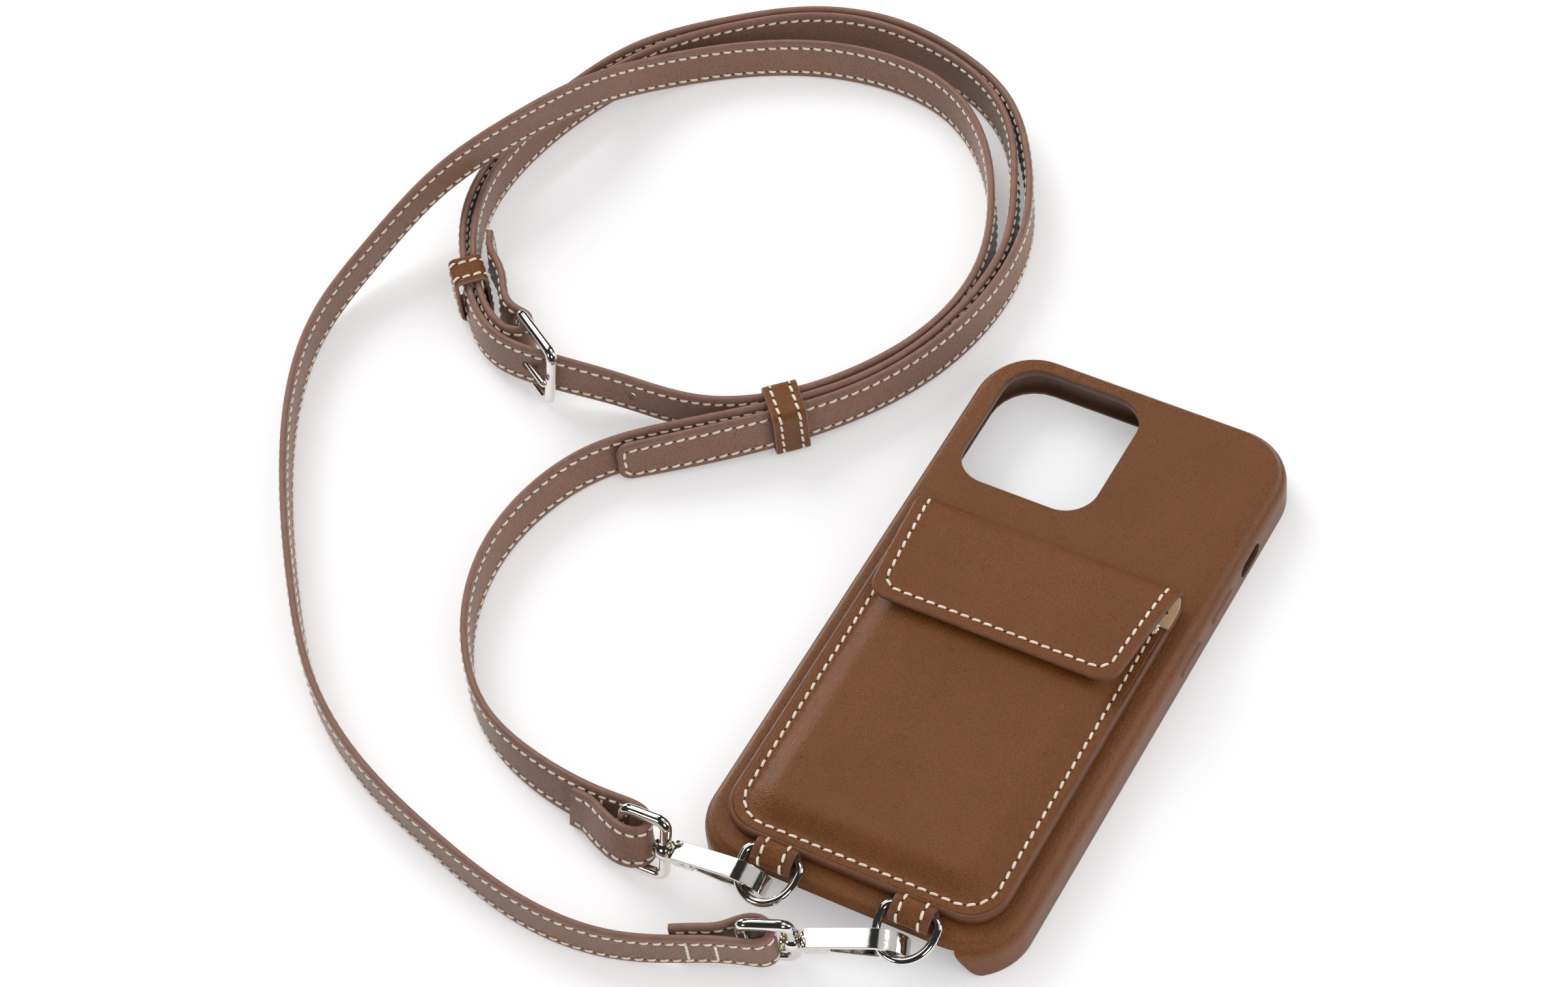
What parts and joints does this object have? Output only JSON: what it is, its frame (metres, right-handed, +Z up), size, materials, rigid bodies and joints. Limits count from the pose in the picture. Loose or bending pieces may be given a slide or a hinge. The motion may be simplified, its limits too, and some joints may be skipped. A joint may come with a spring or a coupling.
{
  "type": "crossbody phone case",
  "caption": "Leather-wrapped phone case with a magnetic flap pocket on its back, two rings and a detachable buckled crossbody strap with swivel snap hooks.",
  "frame": {"origin": "on the resting plane, in the middle of the case with its rings, the free strap left out", "axes": "+Z up out of the back of the case, +Y along the case towards the camera opening, +X towards the volume buttons"},
  "size_m": [0.2466, 0.2826, 0.0249],
  "materials": {
    "case leather": "satin full-grain leather",
    "pocket leather": "satin full-grain leather",
    "flap leather": "satin full-grain leather",
    "strap leather": "satin leather with painted edges",
    "suede": "suede",
    "microfibre": "microfibre",
    "shell plastic": "moulded",
    "nickel": "polished nickel plate",
    "magnet": "plated"
  },
  "bodies": {
    "case": {"case_shell": "shell plastic", "leather_wrap": "case leather", "microfibre_lining": "microfibre", "pocket_back_panel": "pocket leather", "pocket_front_panel": "pocket leather", "pocket_lining": "suede", "pocket_front_lining": "suede", "pocket_magnet": "magnet", "ring_tab_left": "pocket leather", "ring_tab_right": "pocket leather", "strap_long": "strap leather", "strap_short": "strap leather", "buckle_frame": "nickel", "fixed_keeper": "strap leather"},
    "flap": {"flap": "flap leather", "flap_lining": "suede", "flap_magnet": "magnet"},
    "volume_up": {"volume_up_button": "case leather"},
    "volume_down": {"volume_down_button": "case leather"},
    "side_key": {"side_button": "case leather"},
    "ring_left": {"ring_left": "nickel"},
    "ring_right": {"ring_right": "nickel"},
    "eye_left": {"swivel_eye_left": "nickel"},
    "eye_right": {"swivel_eye_right": "nickel"},
    "hook_left": {"hook_body_left": "nickel", "gate_pin_left": "nickel"},
    "hook_right": {"hook_body_right": "nickel", "gate_pin_right": "nickel"},
    "gate_left": {"gate_left": "nickel"},
    "gate_right": {"gate_right": "nickel"},
    "prong": {"buckle_prong": "nickel"},
    "keeper": {"sliding_keeper": "strap leather"}
  },
  "joints": [
    {"name": "flap_hinge", "type": "hinge", "parent": "case", "child": "flap", "pos_m": [0, 0.03058, 0.0149], "axis": [-1, 0, 0], "range_deg": [0, 150]},
    {"name": "volume_up_press", "type": "slide", "parent": "case", "child": "volume_up", "axis": [-1, 0, 0], "range_m": [0, 0.0003], "stiffness_N_per_m": 400},
    {"name": "volume_down_press", "type": "slide", "parent": "case", "child": "volume_down", "axis": [-1, 0, 0], "range_m": [0, 0.0003], "stiffness_N_per_m": 400},
    {"name": "side_key_press", "type": "slide", "parent": "case", "child": "side_key", "axis": [1, 0, 0], "range_m": [0, 0.0003], "stiffness_N_per_m": 400},
    {"name": "ring_left_swing", "type": "hinge", "parent": "case", "child": "ring_left", "pos_m": [-0.0177, -0.07432, 0.0139], "axis": [-1, 0, 0], "range_deg": [-2, 5]},
    {"name": "ring_right_swing", "type": "hinge", "parent": "case", "child": "ring_right", "pos_m": [0.0177, -0.07432, 0.0139], "axis": [-1, 0, 0], "range_deg": [-1.5, 3.5]},
    {"name": "eye_left_swing", "type": "hinge", "parent": "case", "child": "eye_left", "pos_m": [-0.05429, -0.08177, 0.00925], "axis": [0.0441, -0.3252, -0.9446], "range_deg": [-0.8, 0.8]},
    {"name": "eye_right_swing", "type": "hinge", "parent": "case", "child": "eye_right", "pos_m": [-0.01538, -0.09475, 0.0092], "axis": [-0.0135, 0.126, -0.9919], "range_deg": [-0.4, 0.4]},
    {"name": "hook_left_swivel", "type": "hinge", "parent": "eye_left", "child": "hook_left", "pos_m": [-0.04035, -0.08169, 0.01024], "axis": [0.9823, -0.0069, 0.1874], "range_deg": [-6, 12]},
    {"name": "hook_right_swivel", "type": "hinge", "parent": "eye_right", "child": "hook_right", "pos_m": [-0.0024, -0.08958, 0.00993], "axis": [0.9283, 0.3489, 0.1288], "range_deg": [-8, 3]},
    {"name": "gate_left_open", "type": "hinge", "parent": "hook_left", "child": "gate_left", "pos_m": [-0.03729, -0.0816, 0.01022], "axis": [0.0257, -0.985, -0.1706], "range_deg": [0, 2], "stiffness_Nm_per_rad": 0.01, "springref_deg": -11.46},
    {"name": "gate_right_open", "type": "hinge", "parent": "hook_right", "child": "gate_right", "pos_m": [0.00041, -0.08841, 0.00973], "axis": [0.3674, -0.914, -0.1722], "range_deg": [0, 2], "stiffness_Nm_per_rad": 0.01, "springref_deg": -11.46},
    {"name": "prong_swing", "type": "hinge", "parent": "case", "child": "prong", "pos_m": [-0.15344, 0.03722, 0.00953], "axis": [-0.0661, -0.2037, -0.9768], "range_deg": [0, 1.5]},
    {"name": "keeper_slide", "type": "slide", "parent": "case", "child": "keeper", "axis": [0.7254, 0.6884, 0], "range_m": [-0.001, 0.004]}
  ]
}
